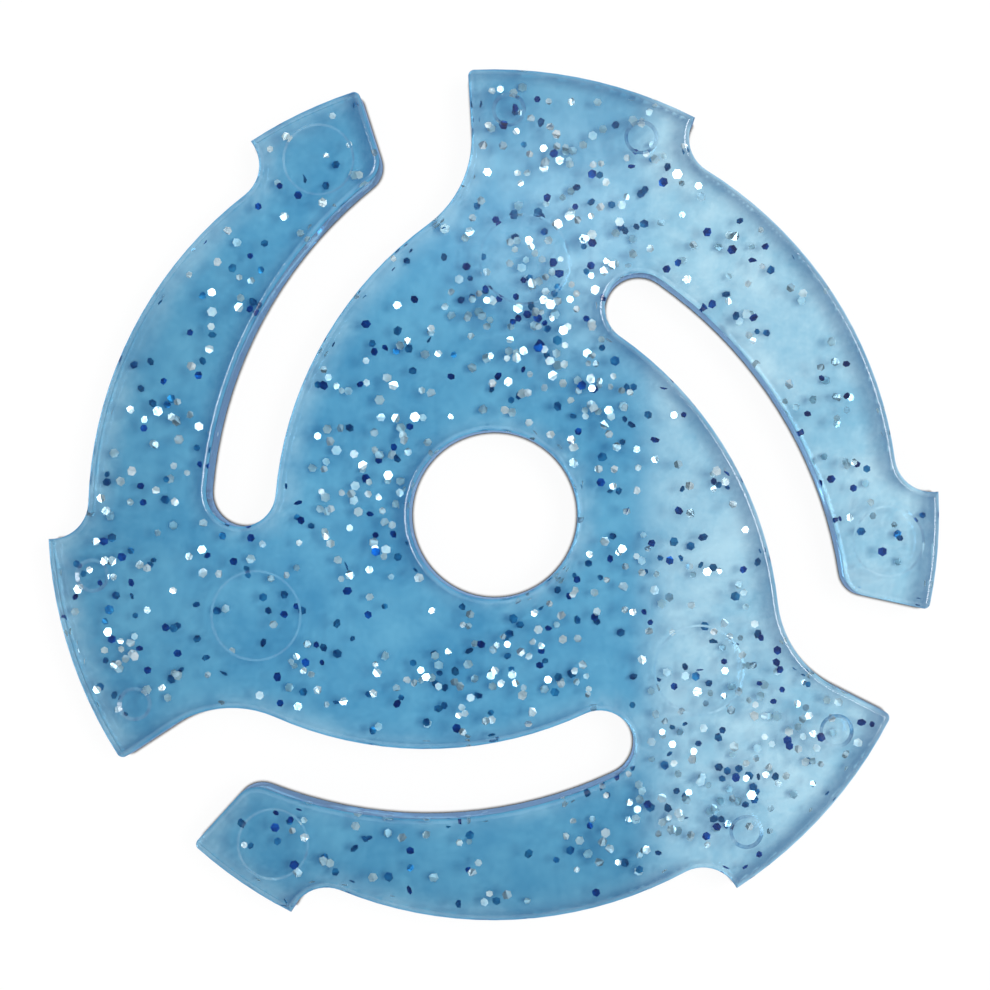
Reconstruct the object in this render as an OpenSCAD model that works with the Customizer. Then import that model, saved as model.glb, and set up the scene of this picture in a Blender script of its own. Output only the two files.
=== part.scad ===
// Record spindle adapter: a flat three-armed insert that fills the wide centre hole of a
// small record and takes a thin spindle in its bore.
// The plate lies on z = 0 with the bore on the z axis. Angles run counterclockwise from +X,
// seen from above, and each shape drawn once is repeated every 120 degrees.

/* [Plate] */
// Diameter across the tabs and arm heads, a push fit in a 38.2 mm record hole
outer_d = 38.1; // [36:0.1:42]
// Diameter of the bore that drops over the spindle
bore_d = 7.2; // [6:0.1:9]
// Thickness of the plate
thickness = 2; // [1.2:0.1:3]

/* [Tabs] */
// Angle where each tab starts, beside the root of its arm
tab_start = 63.1; // [61:0.1:66]
// Angle that each tab spans along the rim
tab_span = 30.2; // [28:0.1:33]
// Radius of the free corner of each tab
tab_corner_r = 0.27; // [0.1:0.01:0.6]
// Radius of the hollow that blends each tab into the hub
tab_foot_r = 4.6; // [3:0.1:6]

/* [Arms] */
// Depth of the arm's outer edge below the rim
arm_setback = 1.72; // [1.6:0.01:2.2]
// Radius of the hollow at both ends of the set-back edge
setback_corner_r = 1.6; // [0.6:0.01:1.6]
// Angle where each arm head ends, at its free end face
head_end = -12.3; // [-15:0.1:-11]
// Angle that each arm head spans along the rim
head_span = 15.3; // [13:0.1:18]
// Radius of the head's corner on the slot
head_inner_r = 1.08; // [0.4:0.01:1.4]
// Radius of the head's corner on the rim
head_tip_r = 0.26; // [0.1:0.01:0.6]

/* [Slots] */
// Radius of the slot's edge on the hub side
hub_edge_r = 16.01; // [15.5:0.01:16.3]
// Distance from the bore to the centre of the hub side's edge
hub_edge_offset = 6.65; // [6.3:0.01:6.9]
// Direction from the bore to the centre of the hub side's edge
hub_edge_angle = -124.4; // [-127:0.1:-122]
// Distance from the bore to the centre of the arm side's edge
arm_edge_offset = 6.46; // [6.2:0.01:6.8]
// Direction from the bore to the centre of the arm side's edge
arm_edge_angle = -123.7; // [-126:0.1:-121]
// Direction of the slot's blind end, seen from the centre of the hub side's edge
slot_end_angle = 55.1; // [50:0.1:58]
// Radius of the slot's blind end
slot_end_r = 1.48; // [1.2:0.01:1.6]

/* [Ejector marks] */
// Depth of the large round marks in the top face
mark_depth = 0.06; // [0.03:0.01:0.1]
// Width of the sloping wall round each large mark
mark_slope = 0.1; // [0.04:0.01:0.2]
// Depth of the small marks on each tab
tab_mark_depth = 0.08; // [0.04:0.01:0.2]
// Width of the sloping wall round each small mark
tab_mark_slope = 0.16; // [0.1:0.01:0.3]
// Radius of the large mark on the hub beside each tab
hub_mark_r = 1.95; // [1.2:0.01:2.2]
// Distance from the bore to the hub mark
hub_mark_place = 11; // [9:0.1:12]
// Direction of the hub mark
hub_mark_angle = 83; // [80:0.1:88]
// Radius of the mark on each arm head
head_mark_r = 1.54; // [1:0.01:1.8]
// Distance from the rim to the arm head's mark
head_mark_inset = 2.15; // [1.9:0.01:2.4]
// Direction of the arm head's mark
head_mark_angle = -3.8; // [-5:0.1:-3]
// Radius of the two small marks on each tab
tab_mark_r = 0.73; // [0.5:0.01:1]
// Distance from the rim to the small marks
tab_mark_inset = 1.75; // [1.4:0.01:2.4]
// Angle from each end of the tab to the small mark near it
tab_mark_turn = 5.5; // [5:0.1:8]

/* [Hidden] */
$fn = 192;
SECTORS = [0, 120, 240];
// How far a corner's patch reaches into the sides that it joins
LAP = 0.4;
// How far a blending circle runs over its tangent lines, so that they cross cleanly
OVERRUN = 0.0005;
outer_r = outer_d / 2;
arm_r = outer_r - arm_setback;
setback_start = head_end + head_span;
tab_end = tab_start + tab_span;
mouth_start = tab_end - SECTORS[1];
hub_edge_centre = polar(hub_edge_offset, hub_edge_angle);
arm_edge_centre = polar(arm_edge_offset, arm_edge_angle);
slot_end_centre = hub_edge_centre + polar(hub_edge_r + slot_end_r, slot_end_angle);
arm_edge_r = norm(slot_end_centre - arm_edge_centre) + slot_end_r;

// Point at a distance and direction from the bore
function polar(r, a) = [r * cos(a), r * sin(a)];

// Point where the line from one centre towards another leaves a circle
function toward(centre, r, target) = centre + r * (target - centre) / norm(target - centre);

// Centre of a circle that stands a distance aside from the ray at angle a, on its
// counterclockwise side where aside is positive, and lies far from a given centre by reach
function beside_ray(a, aside, centre, reach) =
    let (ray = polar(1, a))
    let (start = polar(aside, a + 90) - centre)
    let (along = ray * start)
    polar(sqrt(along * along - start * start + reach * reach) - along, a) + polar(aside, a + 90);

// Foot on the ray at angle a of the point p
function foot(a, p) = polar(polar(1, a) * p, a);

// Sector of the plane between two angles, reaching past the rim
module wedge(a0, a1) {
    reach = 2 * outer_r;
    polygon([[0, 0], polar(reach, a0), polar(reach, (a0 + a1) / 2), polar(reach, a1)]);
}

// The patch between a corner and the circle of radius r tangent to both its sides.
// start and end are the tangent points, and the patch laps over each side by lap.
module corner_patch(centre, r, start, end, corner, lap) {
    difference() {
        polygon([
            centre,
            start,
            toward(start, lap, start * 2 - centre),
            toward(corner, lap * 2, corner * 2 - centre),
            toward(end, lap, end * 2 - centre),
            end
        ]);
        translate(centre) circle(r + OVERRUN);
    }
}

// Patch that fills or cuts the corner between the ray at angle a and the circle of radius
// big round centre: aside is positive where the tangent circle lies counterclockwise of the
// ray, and reach is the distance between the two circles' centres
module ray_corner(a, r, aside, centre, big, reach) {
    middle = beside_ray(a, aside, centre, reach);
    corner_patch(
        middle, r, foot(a, middle), toward(centre, big, middle), beside_ray(a, 0, centre, big), LAP
    );
}

// Opening between the hub and one arm, with its mouth in the rim
module slot_2d() {
    mouth_middle = beside_ray((mouth_start + head_end) / 2, 0, arm_edge_centre, arm_edge_r);
    reach = 2 * outer_r;
    difference() {
        union() {
            wedge(mouth_start, head_end);
            intersection() {
                translate(arm_edge_centre) circle(arm_edge_r);
                polygon([
                    hub_edge_centre,
                    toward(hub_edge_centre, reach, mouth_middle),
                    polar(reach * 1.5, (mouth_start + slot_end_angle) / 2),
                    toward(arm_edge_centre, reach, slot_end_centre),
                    slot_end_centre
                ]);
            }
            translate(slot_end_centre) circle(slot_end_r + OVERRUN);
        }
        translate(hub_edge_centre) circle(hub_edge_r);
        ray_corner(
            mouth_start, tab_foot_r, tab_foot_r,
            hub_edge_centre, hub_edge_r, hub_edge_r + tab_foot_r
        );
    }
}

// Set-back edge of one arm, cut from the rim
module setback_2d() {
    reach = arm_r + setback_corner_r;
    difference() {
        intersection() {
            wedge(setback_start, tab_start);
            difference() {
                circle(2 * outer_r);
                circle(arm_r);
            }
        }
        ray_corner(setback_start, setback_corner_r, setback_corner_r, [0, 0], arm_r, reach);
        ray_corner(tab_start, setback_corner_r, -setback_corner_r, [0, 0], arm_r, reach);
    }
}

// Outline of the whole plate
module plate_2d() {
    difference() {
        circle(outer_r);
        circle(d = bore_d);
        for (turn = SECTORS) rotate(turn) {
            slot_2d();
            setback_2d();
            free_corners_2d();
        }
    }
}

// What is taken off the rounded corners of a tab and an arm head
module free_corners_2d() {
    ray_corner(mouth_start, tab_corner_r, -tab_corner_r, [0, 0], outer_r, outer_r - tab_corner_r);
    ray_corner(head_end, head_tip_r, head_tip_r, [0, 0], outer_r, outer_r - head_tip_r);
    ray_corner(
        head_end, head_inner_r, head_inner_r, arm_edge_centre, arm_edge_r, arm_edge_r + head_inner_r
    );
}

// Shallow round mark in the top face, with a sloping wall
module mark(r, depth, slope) {
    overrun = 0.5;
    translate([0, 0, thickness - depth])
        cylinder(h = depth + overrun, r1 = r - slope, r2 = r + slope * overrun / depth);
}

// The marks of one sector
module marks() {
    translate(polar(hub_mark_place, hub_mark_angle)) mark(hub_mark_r, mark_depth, mark_slope);
    translate(polar(outer_r - head_mark_inset, head_mark_angle))
        mark(head_mark_r, mark_depth, mark_slope);
    for (a = [tab_start + tab_mark_turn, tab_end - tab_mark_turn])
        translate(polar(outer_r - tab_mark_inset, a))
            mark(tab_mark_r, tab_mark_depth, tab_mark_slope);
}

module adapter_plate() {
    color("#6fb0d6") difference() {
        linear_extrude(thickness) plate_2d();
        for (turn = SECTORS) rotate(turn) marks();
    }
}

adapter_plate();
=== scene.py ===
"""Record spindle adapter: a clear blue moulded insert with glitter, seen from above on white.

The plate is the CAD node with its edges softened. The glitter is made here, because it is part
of the moulding compound and has no solids of its own.
"""

import math
import random
from typing import NamedTuple

import bpy
from mathutils import Matrix, Vector
from mathutils.bvhtree import BVHTree


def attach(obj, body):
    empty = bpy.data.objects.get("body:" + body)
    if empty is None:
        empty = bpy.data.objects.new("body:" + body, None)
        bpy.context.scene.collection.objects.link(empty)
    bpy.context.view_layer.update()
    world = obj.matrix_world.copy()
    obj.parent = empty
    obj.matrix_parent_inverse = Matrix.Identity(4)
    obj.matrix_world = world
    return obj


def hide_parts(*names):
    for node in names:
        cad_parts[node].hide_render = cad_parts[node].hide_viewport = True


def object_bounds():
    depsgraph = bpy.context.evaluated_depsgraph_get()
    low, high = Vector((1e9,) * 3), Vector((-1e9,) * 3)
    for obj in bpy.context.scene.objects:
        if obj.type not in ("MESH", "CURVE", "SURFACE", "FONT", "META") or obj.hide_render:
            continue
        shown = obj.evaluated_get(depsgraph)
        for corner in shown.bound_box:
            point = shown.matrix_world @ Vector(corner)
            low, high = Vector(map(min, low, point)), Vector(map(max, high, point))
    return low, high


bl_info = {
    "name": "Record Spindle Adapter",
    "version": (1, 0, 0),
    "blender": (4, 5, 0),
    "location": "3D View > Sidebar > Adapter",
    "description": "Dresses a clear glitter insert for records with a wide centre hole",
    "category": "Object",
}

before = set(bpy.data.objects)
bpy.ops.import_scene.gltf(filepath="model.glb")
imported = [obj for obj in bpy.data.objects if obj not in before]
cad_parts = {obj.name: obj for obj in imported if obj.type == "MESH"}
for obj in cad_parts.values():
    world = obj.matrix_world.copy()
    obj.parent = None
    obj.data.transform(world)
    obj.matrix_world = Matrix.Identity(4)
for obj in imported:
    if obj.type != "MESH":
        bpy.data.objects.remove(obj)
CAD_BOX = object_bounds()
Z_LOW, Z_HIGH = CAD_BOX[0][2], CAD_BOX[1][2]
THICKNESS = Z_HIGH - Z_LOW

PLATE_NODE = "adapter_plate"
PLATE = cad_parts[PLATE_NODE]
MM = 0.001
# A face is a wall where the upward share of its normal is under the first, and level where it
# is over the second
WALL, LEVEL = 0.5, 0.9

# Notes that a mesh carries for its material
MARK_WALLS = "mark walls"
LIT_THROUGH = "lit through"

# Settings that many nodes share
SOFT_STEP = {"interpolation_type": "SMOOTHSTEP"}
PRODUCT = {"operation": "MULTIPLY"}


def linear(hex_colour):
    """Linear RGB of an sRGB colour written as #rrggbb."""
    channels = (int(hex_colour[i:i + 2], 16) / 255 for i in (1, 3, 5))
    return tuple(c / 12.92 if c <= 0.04045 else ((c + 0.055) / 1.055) ** 2.4 for c in channels)


def rgba(colour):
    """A linear colour with full opacity, as a socket takes it."""
    return (*colour, 1.0)


WHITE = linear("#ffffff")


# Settings

def length(name, description, default, low=0.0):
    return bpy.props.FloatProperty(
        name=name, description=description, default=default, min=low, precision=5,
        subtype="DISTANCE", unit="LENGTH")


def colour(name, description, hex_colour):
    return bpy.props.FloatVectorProperty(
        name=name, description=description, default=linear(hex_colour),
        size=3, min=0, max=1, subtype="COLOR")


def level(name, description, default, low=0.0):
    return bpy.props.FloatProperty(name=name, description=description, default=default, min=low)


def count(name, description, default):
    return bpy.props.IntProperty(name=name, description=description, default=default, min=0)


class AdapterPlateSettings(bpy.types.PropertyGroup):
    top_edge: length("Top edge", "Rounding of the upper edges", 0.25 * MM)
    low_edge: length("Lower edge", "Rounding of the lower edges", 0.006 * MM)
    edge_steps: count("Edge steps", "Facets across a rounded edge", 5)
    plastic_colour: colour("Plastic", "Colour that the plastic lets through", "#7cd3eb")
    plastic_density: level("Depth of colour", "Absorption in each metre of plastic", 368)
    plastic_ior: level("Refraction", "Index of refraction of clear styrene", 1.59)
    plastic_roughness: level("Roughness", "Roughness of the moulded skin", 0.1)
    haze_width: length("Haze width", "Width of the patches where the skin is duller", 1.2 * MM)
    swirl_width: length("Swirl width", "Width of the uneven patches of dye", 3.2 * MM)
    swirl_colour: colour("Swirl", "Tint of the patches with more dye", "#b4d6e6")
    # Painted shade: the marks' sloping walls are coloured darker, standing in for the light that
    # they bend aside
    painted_mark_shade: colour("Mark walls", "Tint of the small ejector marks' sloping walls", "#3575a2")
    ripple_width: length("Ripple width", "Width of the soft waves that shrinkage leaves", 5 * MM)
    ripple_depth: length("Ripple depth", "Depth of the soft waves", 0.012 * MM)


class AdapterGlitterSettings(bpy.types.PropertyGroup):
    flake_width: length("Flake width", "Width of a glitter hexagon across its corners", 0.45 * MM)
    flake_thickness: length("Flake thickness", "Thickness of the glitter film", 0.02 * MM)
    silver_count: count("Silver flakes", "Flakes that catch the light", 410)
    navy_count: count("Navy flakes", "Dark blue flakes", 165)
    blue_count: count("Blue flakes", "Mid blue flakes", 285)
    grey_count: count("Grey flakes", "Dull pale flakes, deep in the plastic", 370)
    silver: colour("Silver", "Colour of a bright flake", "#eef5f8")
    navy: colour("Navy", "Colour of a dark flake", "#0b62be")
    blue: colour("Blue", "Colour of a mid blue flake", "#3f9fd2")
    grey: colour("Grey", "Colour of a pale flake", "#fbf7f2")
    seed: count("Seed", "Starts the scatter", 45)


class AdapterStageSettings(bpy.types.PropertyGroup):
    floor_size: length("Floor size", "Side of the white floor", 4.0)
    patch_size: length("Patch size", "Side of the floor's lit patch under the part", 46 * MM)
    patch_cell: length("Patch cell", "Fineness of the lit patch", 0.16 * MM)
    floor_colour: colour("Floor", "Colour of the floor", "#f4f4f4")
    under_colour: colour("Under the part", "Paper lit through the plastic", "#7ebad5")
    open_colour: colour("Under the lit side", "Paper that the window lights", "#f2fcff")
    open_from: length("Lit side", "Distance from the bore to the window's light", 5.6 * MM)
    open_blur: length("Lit side's edge", "Width of its soft edge", 2.2 * MM)
    open_near: level("Lit near the bore", "Share of the window's light at that edge", 0.62)
    open_full: length("Fully lit", "Distance from the bore to the window's full light", 15 * MM)
    open_back: level("Lit back", "Share of the window's light on the paper at the back", 0.46)
    back_x: length("Lit back X", "Place of the back's light to the right of the bore", 5 * MM)
    back_y: length("Lit back Y", "Place of the back's light above the bore", 12 * MM)
    back_near: length("Lit back from", "Distance at which the back's light fades", 1.5 * MM)
    back_far: length("Lit back to", "Distance at which the back's light ends", 8.5 * MM)
    back_gain: level("Light at the back", "Gain of the paper's light at the back", 1.18)
    gain_from: length("Gain from", "Place above the bore where the gain starts", 7 * MM)
    gain_to: length("Gain to", "Place above the bore where the gain is full", 14 * MM)
    pale_shade: level("Pale shade", "Share of a shadow that the window's light fills", 0.12)
    thrown_back: level("Thrown back", "Share of the light that the walls throw on the paper", 0.45)
    light_centre: level("Light at the hub", "Brightness of the paper under the hub", 1.18)
    light_rim: level("Light at the rim", "Brightness of the paper under the rim", 0.95)
    fall_from: length("Fall from", "Radius where the paper's light starts to fall", 8 * MM)
    fall_to: length("Fall to", "Radius where the paper's light is the rim's", 20 * MM)
    open_level: level("Light on the lit side", "Brightness of the paper on the lit side", 1.11)
    shade_colour: colour("Shade under the part", "Paper in a flake's shadow", "#206092")
    mirrored_colour: colour("Paper in gloss", "Paper as the walls reflect it", "#92b5e2")
    # Painted contact shadow: the paper's white glow is darkened near the part by ambient occlusion
    contact_shadow_width: length("Contact line", "Reach of the dark line round the part", 0.2 * MM)
    contact_shadow_level: level("Contact level", "Brightness of the paper at the dark line", 0.0)
    floor_glow: level("Floor glow", "Share of the floor's white that casts no shadow", 0.93)
    sky_level: level("Sky level", "Strength of the soft light from above", 1.0)
    low_sky_level: level("Low sky level", "Strength of the light near the horizon", 0.6)
    overhead_level: level("Overhead level", "Share left of the light straight above", 0.12)
    window_level: level("Window", "Radiance of the window at the right", 8.5)
    near_level: level("Near light", "Radiance of the small soft box at the right", 0.35)
    back_level: level("Back light", "Radiance of the soft box at the back", 0.7)
    camera_height: length("Camera height", "Height of the camera above the floor", 99.06 * MM)
    camera_x: length("Camera X", "Camera's place to the right of the bore", 3.07 * MM, low=-1.0)
    camera_y: length("Camera Y", "Camera's place above the bore", -0.08 * MM, low=-1.0)
    sensor: level("Sensor", "Width of the camera's sensor in millimetres", 36)
    lens: level("Lens", "Focal length in millimetres", 82.77)
    shift_x: level("Shift X", "Sideways shift", -0.071, low=-1.0)
    shift_y: level("Shift Y", "Upward shift", 0.022, low=-1.0)


# Helpers

def pick(*objects):
    """Deselects everything, then selects the objects and makes the first one active."""
    bpy.ops.object.select_all(action="DESELECT")
    for item in objects:
        item.select_set(True)
    bpy.context.view_layer.objects.active = objects[0]


def node(tree, kind, settings=None, values=None, links=None):
    """Adds a node with its settings, its sockets' values and the links into it. A socket goes by
    its name, or by its number where a name stands twice."""
    made = tree.nodes.new(kind)
    for name, value in (settings or {}).items():
        setattr(made, name, value)
    for socket, value in (values or {}).items():
        made.inputs[socket].default_value = value
    for socket, source in (links or {}).items():
        tree.links.new(source, made.inputs[socket])
    return made


def new_material(name):
    """A material with an empty node tree and its output."""
    material = bpy.data.materials.new(name)
    material.use_nodes = True
    material.node_tree.nodes.clear()
    return material, material.node_tree, material.node_tree.nodes.new("ShaderNodeOutputMaterial")


def set_ramp(ramp, *stops):
    """Gives a two-colour ramp its positions and colours."""
    for element, (position, shade) in zip(ramp.elements, stops):
        element.position = position
        element.color = rgba(shade)


def note_on_mesh(mesh, name, domain, values):
    """Writes a colour for each point or corner of a mesh, for its material to read."""
    layer = mesh.color_attributes.new(name, "FLOAT_COLOR", domain)
    layer.data.foreach_set("color", values)


def feel_outline():
    """Two functions: whether a point is inside the plate's outline, and how far and which way
    the nearest wall is."""
    # The feelers' start under the plate, and the height under which a hit is on the lower face
    below, low_face = 10 * MM, 0.1 * MM
    # Height at which they feel for walls, number of ways, and distance where they feel none
    middle, ways, far = 1 * MM, 24, 1.0
    PLATE.data.calc_loop_triangles()
    tree = BVHTree.FromPolygons(
        [v.co for v in PLATE.data.vertices],
        [t.vertices for t in PLATE.data.loop_triangles])

    def covered(x, y):
        hit = tree.ray_cast(Vector((x, y, Z_LOW - below)), Vector((0, 0, 1)))[0]
        return hit is not None and hit.z < Z_LOW + low_face

    def nearest_wall(x, y):
        if not covered(x, y):
            return -1.0, 0.0
        start = Vector((x, y, Z_LOW + middle))
        return min(
            (tree.ray_cast(start, Vector((math.cos(a), math.sin(a), 0)))[3] or far, a)
            for a in (k * math.tau / ways for k in range(ways)))
    return covered, nearest_wall


# Plate

def moulded_styrene(settings):
    """Clear transparent polystyrene, injection moulded in a polished tool.

    To the eye it is a glassy light blue that deepens with thickness, with a soft sheen whose
    edge wanders, because the skin sank a little as it cooled. Dye that mixed unevenly leaves
    soft patches. The small ejector marks' sloping walls show as thin rings of painted shade,
    a darker colour for the light that they bend aside, which comes and goes with the duller
    skin.
    """
    material, tree, output = new_material("clear moulded styrene")
    place = node(tree, "ShaderNodeTexCoord").outputs["Object"]
    ripple = node(tree, "ShaderNodeTexNoise", values={
        "Scale": 1 / settings.ripple_width, "Detail": 3.0, "Roughness": 0.45,
    }, links={"Vector": place})
    bump = node(tree, "ShaderNodeBump", values={
        "Strength": 1.0, "Distance": settings.ripple_depth,
    }, links={"Height": ripple.outputs["Fac"]})
    haze = node(tree, "ShaderNodeTexNoise", values={
        "Scale": 1 / settings.haze_width, "Detail": 4.0, "Roughness": 0.6,
    }, links={"Vector": place})
    roughness = node(tree, "ShaderNodeMapRange", values={
        "From Min": 0.3, "From Max": 0.7,
        "To Min": settings.plastic_roughness * 0.8, "To Max": settings.plastic_roughness * 1.3,
    }, links={"Value": haze.outputs["Fac"]})
    swirl = node(tree, "ShaderNodeTexNoise", values={
        "Scale": 1 / settings.swirl_width, "Detail": 5.0, "Roughness": 0.68, "Distortion": 0.2,
    }, links={"Vector": place})
    tint = node(tree, "ShaderNodeValToRGB", links={"Fac": swirl.outputs["Fac"]})
    set_ramp(tint.color_ramp, (0.36, settings.swirl_colour), (0.62, WHITE))
    strength = node(tree, "ShaderNodeMapRange", values={
        "From Min": 0.4, "From Max": 0.6, "To Min": 0.2, "To Max": 1.0,
    }, links={"Value": haze.outputs["Fac"]})
    # Painted shade on the small marks' sloping walls: a darker colour stands in for the light that
    # they bend aside, and its strength follows the duller patches of skin
    walls = node(tree, "ShaderNodeAttribute", {"attribute_name": MARK_WALLS})
    rings = node(tree, "ShaderNodeMath", PRODUCT, links={
        0: strength.outputs["Result"], 1: walls.outputs["Fac"]})
    with_ring_shade = node(tree, "ShaderNodeMix", {"data_type": "RGBA"}, {
        "B": rgba(settings.painted_mark_shade),
    }, {"Factor": rings.outputs["Value"], "A": tint.outputs["Color"]})
    shader = node(tree, "ShaderNodeBsdfPrincipled", values={
        "IOR": settings.plastic_ior,
        "Transmission Weight": 1.0,
    }, links={
        "Base Color": with_ring_shade.outputs["Result"],
        "Roughness": roughness.outputs["Result"],
        "Normal": bump.outputs["Normal"],
    })
    depth = node(tree, "ShaderNodeVolumeAbsorption", values={
        "Color": rgba(settings.plastic_colour), "Density": settings.plastic_density,
    })
    tree.links.new(shader.outputs["BSDF"], output.inputs["Surface"])
    tree.links.new(depth.outputs["Volume"], output.inputs["Volume"])
    return material


# Points closer than the first are one, faces that turn less than the second are one, and edges
# that turn less than the third are smooth
SAME_POINT, SAME_FACE, SMOOTH_TURN = 0.0005 * MM, math.radians(0.5), math.radians(24)


def wall_edges(mesh, z):
    """Edges at a height between a level face and a wall."""
    same_height = 0.01 * MM
    beside = {}
    for polygon in mesh.polygons:
        for key in polygon.edge_keys:
            beside.setdefault(key, []).append(abs(polygon.normal.z))
    return [
        edge for edge in mesh.edges
        if all(abs(mesh.vertices[v].co.z - z) < same_height for v in edge.vertices)
        and min(beside[edge.key]) < WALL and max(beside[edge.key]) > LEVEL
    ]


def soften_plate(settings):
    """The CAD plate with clean faces, soft edges and smooth curved walls."""
    plate = PLATE.copy()
    plate.data = plate.data.copy()
    plate.name = plate.data.name = "moulded_plate"
    plate.parent = None
    for key in list(plate.keys()):
        del plate[key]
    bpy.context.scene.collection.objects.link(plate)
    pick(plate)
    bpy.ops.object.mode_set(mode="EDIT")
    bpy.ops.mesh.select_all(action="SELECT")
    bpy.ops.mesh.remove_doubles(threshold=SAME_POINT)
    bpy.ops.mesh.dissolve_limited(angle_limit=SAME_FACE)
    bpy.ops.object.mode_set(mode="OBJECT")
    bpy.ops.mesh.customdata_custom_splitnormals_clear()
    for z, radius in ((Z_HIGH, settings.top_edge), (Z_LOW, settings.low_edge)):
        bpy.ops.object.mode_set(mode="EDIT")
        bpy.ops.mesh.select_mode(type="EDGE")
        bpy.ops.mesh.select_all(action="DESELECT")
        bpy.ops.object.mode_set(mode="OBJECT")
        for edge in wall_edges(plate.data, z):
            edge.select = True
        bpy.ops.object.mode_set(mode="EDIT")
        bpy.ops.mesh.bevel(
            offset=radius, segments=settings.edge_steps, affect="EDGES", clamp_overlap=False,
            loop_slide=False)
        bpy.ops.object.mode_set(mode="OBJECT")
    bpy.ops.object.shade_smooth_by_angle(angle=SMOOTH_TURN)
    flats = plate.modifiers.new("level faces", "WEIGHTED_NORMAL")
    flats.keep_sharp = True
    bpy.ops.object.modifier_apply(modifier=flats.name)
    return plate


def find_mark_walls(plate):
    """Notes which faces are the sloping walls of the small ejector marks. They bend the light
    aside, so they show as thin dark rings."""
    # The plastic's material colours these walls darker, as painted shade for the light that they
    # bend aside
    # Upward share of their normals, which is less on the large marks and more on the top
    least, most = 0.88, 0.96
    clear_of_rim = 0.5 * MM
    nearest_wall = feel_outline()[1]
    shares = []
    for polygon in plate.data.polygons:
        sloping = (
            least < polygon.normal.z < most
            and nearest_wall(*polygon.center.xy)[0] > clear_of_rim)
        shares.extend([float(sloping)] * 4 * polygon.loop_total)
    note_on_mesh(plate.data, MARK_WALLS, "CORNER", shares)


class ADAPTER_OT_plate(bpy.types.Operator):
    """Makes the moulded plate from its CAD node"""
    bl_idname = "adapter.plate"
    bl_label = "Plate"

    def execute(self, context):
        settings = context.scene.adapter_plate
        plate = soften_plate(settings)
        find_mark_walls(plate)
        plate.data.materials.clear()
        plate.data.materials.append(moulded_styrene(settings))
        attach(plate, "root")
        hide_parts(PLATE_NODE)
        return {"FINISHED"}


# Glitter

class Finish(NamedTuple):
    """How one finish of glitter film looks and how its flakes lie in the plastic."""
    # Darker tone, metallic share and roughness
    darker: str
    mirror: float
    roughness: float
    # Lowest and highest place of a flake's middle in mm, and its mean lean and the lean's
    # spread in degrees
    heights: tuple
    lean: tuple
    # Whether the upper sides lean to the window, and the share of flakes that lies in clusters
    to_window: bool
    gathered: float


FINISHES = {
    "silver": Finish("#d5e6ef", 0.65, 0.16, (1.2, 1.85), (9.5, 3), True, 0.5),
    "navy": Finish("#033c8a", 0.25, 0.25, (0.8, 1.82), (24, 18), False, 0.15),
    "blue": Finish("#1468a6", 0.3, 0.25, (0.3, 1.6), (26, 20), False, 0.15),
    "grey": Finish("#e6eaec", 0.55, 0.42, (0.3, 1.6), (8, 6), True, 0.4),
}
GLITTER = {shade: f"glitter_{shade}" for shade in FINISHES}

# Where glitter gathered in the melt: place in mm, spread in mm and share of the finish
CLUSTERS = [
    (3.9, 14.3, 3.4, 2.2),
    (2.0, 8.5, 2.0, 1.9),
    (3.9, 4.7, 1.8, 1.0),
    (-5.0, 2.0, 2.2, 2.0),
    (3.9, -3.2, 2.2, 1.5),
    (0.0, -6.8, 1.6, 1.3),
    (11.6, -8.7, 2.0, 1.6),
    (7.7, -12.6, 2.0, 2.0),
    (-15.3, 2.8, 2.2, 0.8),
    (-17.2, -4.9, 2.4, 1.0),
]

# Crease, fold and way of the cut in degrees, and the cut's share of the flake
FLAKE_SHAPES = [
    (0, 0, 0, 0.0),
    (2, 0, 75, 0.3),
    (4, 0, 200, 0.22),
    (3, 26, 305, 0.18),
    (8, -20, 150, 0.3),
    (14, 0, 260, 0.2),
]
# Way from a flake's middle to its folded corner
FOLD_WAY = math.radians(50)
# Shares of a flake's width: from its middle to the fold, its rim's width and its rim's drop
FOLD_FROM, RIM_WIDTH, RIM_DROP = 0.18, 0.09, 0.05
# Share of a flake's radius where its rim starts
RIM_FROM = 0.85
# How far the sides of a hexagon lie from its middle, as a share of its corners' radius
SIDE_FROM = math.sqrt(0.75)

# Sizes of the flakes as shares of their width, in the open and along a wall
SIZES, WALL_SIZES = (0.62, 1.0), (0.5, 0.8)
# Least distance of a flake's middle from a wall, and the distance up to which it lies along it
WALL_CLEARANCE, WALL_REACH = 0.16 * MM, 0.5 * MM
# Lean in degrees of the flakes along a wall, and the spread of the way that they face
WALL_LEAN, WALL_SPREAD = (58, 84), 0.2
# Least distance between the middles of two flakes
FLAKE_GAP = 0.3 * MM
# Clear plastic over the highest corner of a flake, more than the marks are deep
COVER = 0.12 * MM
# The upper sides that lean to the window do so within this spread
WINDOW_SPREAD = math.radians(22)
# Draws for each flake after which the scatter gives up
MOST_TRIES = 60


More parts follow.
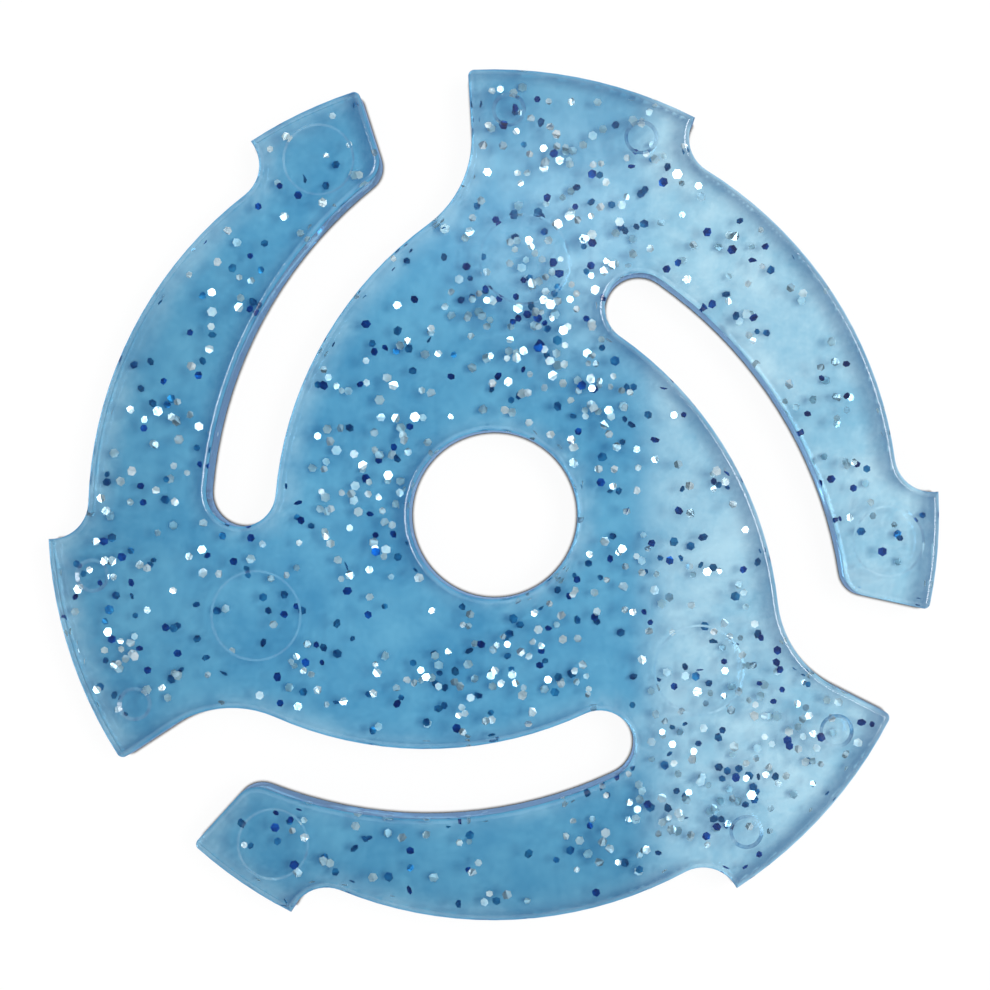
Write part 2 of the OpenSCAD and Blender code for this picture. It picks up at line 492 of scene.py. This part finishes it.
def metallised_film(shade, base, finish):
    """Polyester film with a vapour coat of aluminium, tinted or clear, die cut into hexagons.

    To the eye it is a mirror that lies at every tilt, so that neighbours flash or go dark, and
    the tone shifts a little from flake to flake and across one.
    """
    patch_width, crease_width, crease_depth = 0.35 * MM, 0.15 * MM, 0.01 * MM
    material, tree, output = new_material(f"{shade} metallised film")
    place = node(tree, "ShaderNodeTexCoord").outputs["Object"]
    patches = node(tree, "ShaderNodeTexNoise", values={
        "Scale": 1 / patch_width, "Detail": 2.0,
    }, links={"Vector": place})
    tone = node(tree, "ShaderNodeValToRGB", links={"Fac": patches.outputs["Fac"]})
    set_ramp(tone.color_ramp, (0.35, linear(finish.darker)), (0.6, base))
    creases = node(tree, "ShaderNodeTexNoise", values={
        "Scale": 1 / crease_width, "Detail": 1.0,
    }, links={"Vector": place})
    bump = node(tree, "ShaderNodeBump", values={
        "Strength": 0.6, "Distance": crease_depth,
    }, links={"Height": creases.outputs["Fac"]})
    shader = node(tree, "ShaderNodeBsdfPrincipled", values={
        "Metallic": finish.mirror, "Roughness": finish.roughness, "Specular IOR Level": 0.0,
    }, links={"Base Color": tone.outputs["Color"], "Normal": bump.outputs["Normal"]})
    tree.links.new(shader.outputs["BSDF"], output.inputs["Surface"])
    return material


def flake_shape(settings, crease, fold, cut_way, cut):
    """One hexagon of film, chamfered round its rim, creased across the middle, folded near one
    corner and cut short on one side. crease, fold and cut_way are in degrees."""
    width, radius = settings.flake_width, settings.flake_width / 2
    bpy.ops.object.select_all(action="DESELECT")
    bpy.ops.mesh.primitive_cylinder_add(
        vertices=6, radius=radius, depth=settings.flake_thickness)
    flake = bpy.context.object
    for polygon in flake.data.polygons:
        polygon.select = abs(polygon.normal.z) > LEVEL
    corner = Vector((math.cos(FOLD_WAY), math.sin(FOLD_WAY), 0))
    folded_from = width * FOLD_FROM
    bpy.ops.object.mode_set(mode="EDIT")
    bpy.ops.mesh.inset(thickness=width * RIM_WIDTH)
    bpy.ops.mesh.select_all(action="SELECT")
    bpy.ops.mesh.bisect(plane_co=(0, 0, 0), plane_no=(1, 0, 0))
    bpy.ops.mesh.select_all(action="SELECT")
    bpy.ops.mesh.bisect(plane_co=corner * folded_from, plane_no=corner)
    bpy.ops.mesh.select_all(action="DESELECT")
    bpy.ops.object.mode_set(mode="OBJECT")
    crease_slope, fold_slope = (math.tan(math.radians(a)) for a in (crease, fold))
    rim_from = radius * RIM_FROM * SIDE_FROM
    for vertex in flake.data.vertices:
        x, y, _ = vertex.co
        beyond = max(0.0, vertex.co.dot(corner) - folded_from)
        vertex.co.z += abs(x) * crease_slope + beyond * fold_slope
        if max(abs(x), abs(x) / 2 + abs(y) * SIDE_FROM) > rim_from:
            vertex.co.z -= width * RIM_DROP
        towards_cut = max(0.0, math.cos(math.atan2(y, x) - math.radians(cut_way)))
        kept = 1 - cut * towards_cut ** 4
        vertex.co.x *= kept
        vertex.co.y *= kept
    return flake


def draw_place(draw, finish):
    """A place in a cluster or anywhere in the plate's box."""
    if draw.random() < finish.gathered:
        weights = [share for *_, share in CLUSTERS]
        middle_x, middle_y, spread, _ = draw.choices(CLUSTERS, weights=weights)[0]
        x = (middle_x + draw.gauss(0, spread)) * MM
        y = (middle_y + draw.gauss(0, spread)) * MM
    else:
        low, high = (Vector(c) for c in CAD_BOX)
        x = draw.uniform(low.x, high.x)
        y = draw.uniform(low.y, high.y)
    return x, y, draw.uniform(*finish.heights) * MM


def scatter(draw, finish, number, width, shapes, nearest_wall, taken):
    """Copies of the shapes, placed at random where each has room, as separate objects. taken
    holds the middles of all the flakes so far."""
    flakes = []
    tries = 0
    while len(flakes) < number:
        tries += 1
        if tries > MOST_TRIES * number:
            raise RuntimeError(f"no room for {number} flakes in the plate")
        x, y, z = draw_place(draw, finish)
        turn = draw.uniform(0, math.tau)
        lean = abs(draw.gauss(*(math.radians(a) for a in finish.lean)))
        size = draw.uniform(*SIZES)
        facing = draw.gauss(0, WINDOW_SPREAD) if finish.to_window else draw.uniform(0, math.tau)
        shape = draw.choice(shapes)
        to_wall, wall_way = nearest_wall(x, y)
        if to_wall < WALL_CLEARANCE:
            continue
        if to_wall < WALL_REACH:
            # The melt lays the flakes flat along the mould's wall
            lean = math.radians(draw.uniform(*WALL_LEAN))
            facing = wall_way + draw.gauss(0, WALL_SPREAD)
            size = draw.uniform(*WALL_SIZES)
        spot = Vector((x, y, z))
        if any((spot - other).length < FLAKE_GAP for other in taken):
            continue
        taken.append(spot)
        steepest = math.asin(min(1.0, (THICKNESS - COVER - z) / (size * width / 2)))
        flake = shape.copy()
        flake.data = shape.data.copy()
        flake.matrix_world = (
            Matrix.Translation(spot)
            @ Matrix.Rotation(facing, 4, "Z")
            @ Matrix.Rotation(min(lean, steepest), 4, "Y")
            @ Matrix.Rotation(turn, 4, "Z")
            @ Matrix.Scale(size, 4))
        bpy.context.scene.collection.objects.link(flake)
        flakes.append(flake)
    return flakes


class ADAPTER_OT_glitter(bpy.types.Operator):
    """Scatters the glitter flakes through the plastic, one piece for each finish"""
    bl_idname = "adapter.glitter"
    bl_label = "Glitter"

    def execute(self, context):
        settings = context.scene.adapter_glitter
        draw = random.Random(settings.seed)
        nearest_wall = feel_outline()[1]
        shapes = [flake_shape(settings, *bends) for bends in FLAKE_SHAPES]
        taken = []
        for shade, finish in FINISHES.items():
            pick(*scatter(
                draw, finish, getattr(settings, f"{shade}_count"), settings.flake_width,
                shapes, nearest_wall, taken))
            bpy.ops.object.transform_apply(location=True, rotation=True, scale=True)
            bpy.ops.object.join()
            glitter = bpy.context.object
            glitter.name = glitter.data.name = GLITTER[shade]
            glitter.data.materials.clear()
            glitter.data.materials.append(
                metallised_film(shade, getattr(settings, shade), finish))
            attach(glitter, "root")
        for shape in shapes:
            bpy.data.objects.remove(shape)
        return {"FINISHED"}


# Light on the paper

# Ways by which light gets to the paper: azimuth, angle from straight up, share
LIGHT_PATHS = (
    [(a, z, 1.6) for a in (-16, 0, 16) for z in (28, 38, 48)]
    + [(a, 12, 1.2) for a in (-40, 0, 40)]
    + [(a, z, 1.0) for a in (90, 150, 210, 270) for z in (20, 50)]
)
# Ways that are followed to a wall, to find the light that the wall throws back
BACK_PATHS = [(a, z, 1.0) for a in range(0, 360, 30) for z in (22, 32, 42, 52)]
# Share of those ways that lights the paper fully
ENOUGH_THROWN = 1 / 4
# Height over the paper at which the rays start
RAY_START = 0.01 * MM
# Cosine of the widest turn from the window at which its light still comes in by a wall, and
# the share of light that comes from other sides
WINDOW_COSINE, OTHER_SIDES = 0.82, 0.2


def inner_rays(paths, ior):
    """Direction, reach and share of each way's ray inside the plastic."""
    rays = []
    for azimuth, zenith, share in paths:
        slope = math.asin(math.sin(math.radians(zenith)) / ior)
        turn = math.radians(azimuth)
        way = Vector((
            math.sin(slope) * math.cos(turn), math.sin(slope) * math.sin(turn), math.cos(slope)))
        rays.append((way, THICKNESS / math.cos(slope), share))
    return rays


def light_through(patch, ior):
    """Works out how much light reaches the paper through the plastic.

    Rays go up from the paper inside the plastic. One that meets a flake or leaves by a wall
    brings no light, which leaves the flakes' soft shadows and a dark band inside the walls that
    face the window. A wall that faces away from the window throws its light back on the paper.
    """
    walls = [p for p in PLATE.data.polygons if abs(p.normal.z) < WALL]
    slopes = [p for p in PLATE.data.polygons if WALL < abs(p.normal.z) < LEVEL]
    flakes = [bpy.data.objects[name].data for name in GLITTER.values()]
    corners, faces = [], []
    for mesh, polygons in [(PLATE.data, walls + slopes)] + [(m, m.polygons) for m in flakes]:
        faces.extend([len(corners) + v for v in p.vertices] for p in polygons)
        corners.extend(v.co.copy() for v in mesh.vertices)
    blockers = BVHTree.FromPolygons(corners, faces)
    covered = feel_outline()[0]
    direct = inner_rays(LIGHT_PATHS, ior)
    thrown = inner_rays(BACK_PATHS, ior)
    total = sum(share for *_, share in direct)
    enough = len(thrown) * ENOUGH_THROWN
    levels = []
    for vertex in patch.data.vertices:
        x, y, _ = vertex.co
        lit, back = 1.0, 0.0
        if covered(x, y):
            start = Vector((x, y, Z_LOW + RAY_START))
            lit -= sum(
                share for way, reach, share in direct
                if blockers.ray_cast(start, way, reach)[0] is not None) / total
            for way, reach, _ in thrown:
                hit, normal, index, _ = blockers.ray_cast(start, way, reach)
                if hit is not None and index < len(walls):
                    mirrored = way.reflect(normal)
                    to_window = mirrored.x > WINDOW_COSINE * mirrored.to_2d().length
                    back += (1.0 if to_window else OTHER_SIDES) / enough
        levels.extend((lit, min(back, 1.0), 0.0, 1.0))
    note_on_mesh(patch.data, LIT_THROUGH, "POINT", levels)


def paper_through_plastic(tree, settings):
    """Colour and strength of the mapped paper where the plastic covers it.

    Beyond a soft line the window lights the paper itself, so it stays whiter. The back and the
    places by the walls that face away from the window get a share of that light, which also
    pales the shadows. Light that wanders in the plastic brightens the paper less towards the
    rim, and more at the back.
    """
    place = node(tree, "ShaderNodeTexCoord").outputs["Object"]
    across = node(tree, "ShaderNodeSeparateXYZ", links={"Vector": place})
    note = node(tree, "ShaderNodeAttribute", {"attribute_name": LIT_THROUGH})
    lit = node(tree, "ShaderNodeSeparateColor", links={"Color": note.outputs["Color"]})

    side = node(tree, "ShaderNodeMapRange", SOFT_STEP, {
        "From Min": settings.open_from, "From Max": settings.open_from + settings.open_blur,
    }, {"Value": across.outputs["X"]})
    growing = node(tree, "ShaderNodeMapRange", values={
        "From Min": settings.open_from, "From Max": settings.open_full,
        "To Min": settings.open_near, "To Max": 1.0,
    }, links={"Value": across.outputs["X"]})
    beside = node(tree, "ShaderNodeMath", PRODUCT, links={
        0: side.outputs["Result"], 1: growing.outputs["Result"]})
    from_back = node(tree, "ShaderNodeVectorMath", {"operation": "DISTANCE"}, {
        1: (settings.back_x, settings.back_y, 0)}, {0: place})
    back = node(tree, "ShaderNodeMapRange", SOFT_STEP, {
        "From Min": settings.back_near, "From Max": settings.back_far,
        "To Min": settings.open_back, "To Max": 0.0,
    }, {"Value": from_back.outputs["Value"]})
    thrown = node(tree, "ShaderNodeMath", PRODUCT, {1: settings.thrown_back}, {
        0: lit.outputs["Green"]})
    window = beside.outputs["Value"]
    for more in (back.outputs["Result"], thrown.outputs["Value"]):
        added = node(tree, "ShaderNodeMath", {"operation": "ADD", "use_clamp": True}, links={
            0: window, 1: more})
        window = added.outputs["Value"]

    sheet = node(tree, "ShaderNodeMix", {"data_type": "RGBA"}, {
        "A": rgba(settings.under_colour), "B": rgba(settings.open_colour)}, {"Factor": window})
    filled = node(tree, "ShaderNodeMath", PRODUCT, {1: settings.pale_shade}, {0: window})
    unshaded = node(tree, "ShaderNodeMix", values={"B": 1.0}, links={
        "Factor": filled.outputs["Value"], "A": lit.outputs["Red"]})
    shaded = node(tree, "ShaderNodeMix", {"data_type": "RGBA"}, {
        "A": rgba(settings.shade_colour),
    }, {"Factor": unshaded.outputs["Result"], "B": sheet.outputs["Result"]})

    reach = node(tree, "ShaderNodeVectorMath", {"operation": "LENGTH"}, links={0: place})
    fall = node(tree, "ShaderNodeMapRange", SOFT_STEP, {
        "From Min": settings.fall_from, "From Max": settings.fall_to,
        "To Min": settings.light_centre, "To Max": settings.light_rim,
    }, {"Value": reach.outputs["Value"]})
    gain = node(tree, "ShaderNodeMapRange", SOFT_STEP, {
        "From Min": settings.gain_from, "From Max": settings.gain_to,
        "To Min": 1.0, "To Max": settings.back_gain,
    }, {"Value": across.outputs["Y"]})
    wandering = node(tree, "ShaderNodeMath", PRODUCT, links={
        0: fall.outputs["Result"], 1: gain.outputs["Result"]})
    strength = node(tree, "ShaderNodeMix", values={"B": settings.open_level}, links={
        "Factor": side.outputs["Result"], "A": wandering.outputs["Value"]})
    return shaded.outputs["Result"], strength.outputs["Result"]


def white_paper(settings, mapped):
    """Bright white paper: it shows as plain white, and keeps the part's shadow.

    Gloss shows it in the part's blue light, which is painted on. Where it is mapped, a thin
    painted contact shadow lies where the part touches it, and its brightness through the
    plastic is painted to follow the light that gets there.
    """
    material, tree, output = new_material("white paper")
    rays = node(tree, "ShaderNodeLightPath")
    paper = node(tree, "ShaderNodeBsdfDiffuse", values={"Color": rgba(settings.floor_colour)})
    glow = node(tree, "ShaderNodeEmission", values={"Color": rgba(WHITE), "Strength": 1.0})
    mirrored = node(tree, "ShaderNodeEmission", values={
        "Color": rgba(settings.mirrored_colour), "Strength": 1.0})
    through = node(tree, "ShaderNodeEmission", values={
        "Color": rgba(settings.under_colour), "Strength": 1.0})
    if mapped:
        # Painted contact shadow: ambient occlusion darkens the paper's glow where the part touches
        # it
        touch = node(tree, "ShaderNodeAmbientOcclusion", {"samples": 8}, {
            "Distance": settings.contact_shadow_width})
        line = node(tree, "ShaderNodeMapRange", values={
            "From Min": 0.55, "From Max": 0.85, "To Min": settings.contact_shadow_level, "To Max": 1.0,
        }, links={"Value": touch.outputs["AO"]})
        tree.links.new(line.outputs["Result"], glow.inputs["Strength"])
        shade, strength = paper_through_plastic(tree, settings)
        tree.links.new(shade, through.inputs["Color"])
        tree.links.new(strength, through.inputs["Strength"])
    seen = node(tree, "ShaderNodeMixShader", values={"Fac": settings.floor_glow}, links={
        1: paper.outputs["BSDF"], 2: glow.outputs["Emission"]})
    shown = paper.outputs["BSDF"]
    for ray, look in (("Is Camera Ray", seen.outputs["Shader"]),
                      ("Is Glossy Ray", mirrored.outputs["Emission"]),
                      ("Is Transmission Ray", through.outputs["Emission"])):
        mix = node(tree, "ShaderNodeMixShader", links={
            "Fac": rays.outputs[ray], 1: shown, 2: look})
        shown = mix.outputs["Shader"]
    tree.links.new(shown, output.inputs["Surface"])
    return material


# Stage

# Soft boxes: place, and size in width and depth, both in metres, and the radiance's setting
SOFT_BOXES = {
    "window": ((0.56, 0.05, 0.9), (0.48, 0.56), "window_level"),
    "near soft box": ((0.111, 0.02, 0.89), (0.15, 0.36), "near_level"),
    "back soft box": ((0.0, 0.145, 0.89), (0.11, 0.09), "back_level"),
}
# How far the lit patch and the floor lie under the part
PATCH_DROP, FLOOR_DROP = 0.01 * MM, 0.02 * MM
# Heights on the sky's unit sphere: where the dome is at its level, and where the shade of
# whoever takes the picture starts and is full
DOME_TOP, OVERHEAD_FROM, OVERHEAD_FULL = 0.6, 0.955, 0.985


def make_floor(settings, ior):
    """The white floor, and the finer patch of it that lies under the part."""
    bpy.ops.object.select_all(action="DESELECT")
    bpy.ops.mesh.primitive_plane_add(size=settings.floor_size, location=(0, 0, -FLOOR_DROP))
    floor = bpy.context.object
    floor.name = "floor"
    floor.data.materials.append(white_paper(settings, mapped=False))
    bpy.ops.object.select_all(action="DESELECT")
    cells = round(settings.patch_size / settings.patch_cell)
    bpy.ops.mesh.primitive_grid_add(
        x_subdivisions=cells, y_subdivisions=cells, size=settings.patch_size,
        location=(0, 0, -PATCH_DROP))
    patch = bpy.context.object
    patch.name = "floor_under_part"
    light_through(patch, ior)
    patch.data.materials.append(white_paper(settings, mapped=True))


def soft_room(settings):
    """A plain bright room that shows as white, darker low down and straight above, where the
    camera and whoever holds it shade the part."""
    world = bpy.data.worlds.new("soft room")
    bpy.context.scene.world = world
    world.use_nodes = True
    tree = world.node_tree
    tree.nodes.clear()
    rays = node(tree, "ShaderNodeLightPath")
    way = node(tree, "ShaderNodeTexCoord")
    height = node(tree, "ShaderNodeSeparateXYZ", links={"Vector": way.outputs["Generated"]})
    dome = node(tree, "ShaderNodeMapRange", SOFT_STEP, {
        "From Min": 0.0, "From Max": DOME_TOP,
        "To Min": settings.low_sky_level, "To Max": settings.sky_level,
    }, {"Value": height.outputs["Z"]})
    overhead = node(tree, "ShaderNodeMapRange", SOFT_STEP, {
        "From Min": OVERHEAD_FROM, "From Max": OVERHEAD_FULL,
        "To Min": 1.0, "To Max": settings.overhead_level,
    }, {"Value": height.outputs["Z"]})
    strength = node(tree, "ShaderNodeMath", PRODUCT, links={
        0: dome.outputs["Result"], 1: overhead.outputs["Result"]})
    room = node(tree, "ShaderNodeBackground", values={"Color": rgba(WHITE)}, links={
        "Strength": strength.outputs["Value"]})
    white = node(tree, "ShaderNodeBackground", values={"Color": rgba(WHITE), "Strength": 1.0})
    mix = node(tree, "ShaderNodeMixShader", links={
        "Fac": rays.outputs["Is Camera Ray"],
        1: room.outputs["Background"],
        2: white.outputs["Background"],
    })
    node(tree, "ShaderNodeOutputWorld", links={"Surface": mix.outputs["Shader"]})


def make_lamps(settings):
    """The window and the soft boxes."""
    for name, (place, size, radiance) in SOFT_BOXES.items():
        bpy.ops.object.light_add(type="AREA", location=place)
        lamp = bpy.context.object
        lamp.name = name
        lamp.data.shape = "RECTANGLE"
        lamp.data.size, lamp.data.size_y = size
        # Radiance of an area light is its power over its area and pi
        lamp.data.energy = getattr(settings, radiance) * size[0] * size[1] * math.pi


def make_camera(settings):
    """The camera, which looks straight down."""
    bpy.ops.object.camera_add(
        location=(settings.camera_x, settings.camera_y, settings.camera_height))
    camera = bpy.context.object
    camera.data.lens = settings.lens
    camera.data.sensor_width = settings.sensor
    camera.data.shift_x = settings.shift_x
    camera.data.shift_y = settings.shift_y
    camera.data.clip_start = 1 * MM
    bpy.context.scene.camera = camera


class ADAPTER_OT_stage(bpy.types.Operator):
    """Sets the white floor, the soft lights and the camera"""
    bl_idname = "adapter.stage"
    bl_label = "Stage"

    def execute(self, context):
        settings = context.scene.adapter_stage
        make_floor(settings, context.scene.adapter_plate.plastic_ior)
        soft_room(settings)
        make_lamps(settings)
        make_camera(settings)
        context.scene.view_settings.view_transform = "Standard"
        return {"FINISHED"}


# Add-on

SETTINGS = {
    "adapter_plate": AdapterPlateSettings,
    "adapter_glitter": AdapterGlitterSettings,
    "adapter_stage": AdapterStageSettings,
}
OPERATORS = (ADAPTER_OT_plate, ADAPTER_OT_glitter, ADAPTER_OT_stage)


class ADAPTER_PT_panel(bpy.types.Panel):
    """Lists the operators and the settings"""
    bl_idname = "ADAPTER_PT_panel"
    bl_label = "Record Spindle Adapter"
    bl_space_type = "VIEW_3D"
    bl_region_type = "UI"
    bl_category = "Adapter"

    def draw(self, context):
        for operator in OPERATORS:
            self.layout.operator(operator.bl_idname)
        for group, kind in SETTINGS.items():
            box = self.layout.box()
            for name in kind.__annotations__:
                box.prop(getattr(context.scene, group), name)


CLASSES = (*SETTINGS.values(), *OPERATORS, ADAPTER_PT_panel)


def register():
    for cls in CLASSES:
        bpy.utils.register_class(cls)
    for name, group in SETTINGS.items():
        setattr(bpy.types.Scene, name, bpy.props.PointerProperty(type=group))


def unregister():
    for name in SETTINGS:
        delattr(bpy.types.Scene, name)
    for cls in reversed(CLASSES):
        bpy.utils.unregister_class(cls)


def main():
    register()
    bpy.ops.adapter.plate()
    bpy.ops.adapter.glitter()
    bpy.ops.adapter.stage()


if __name__ == "__main__":
    main()
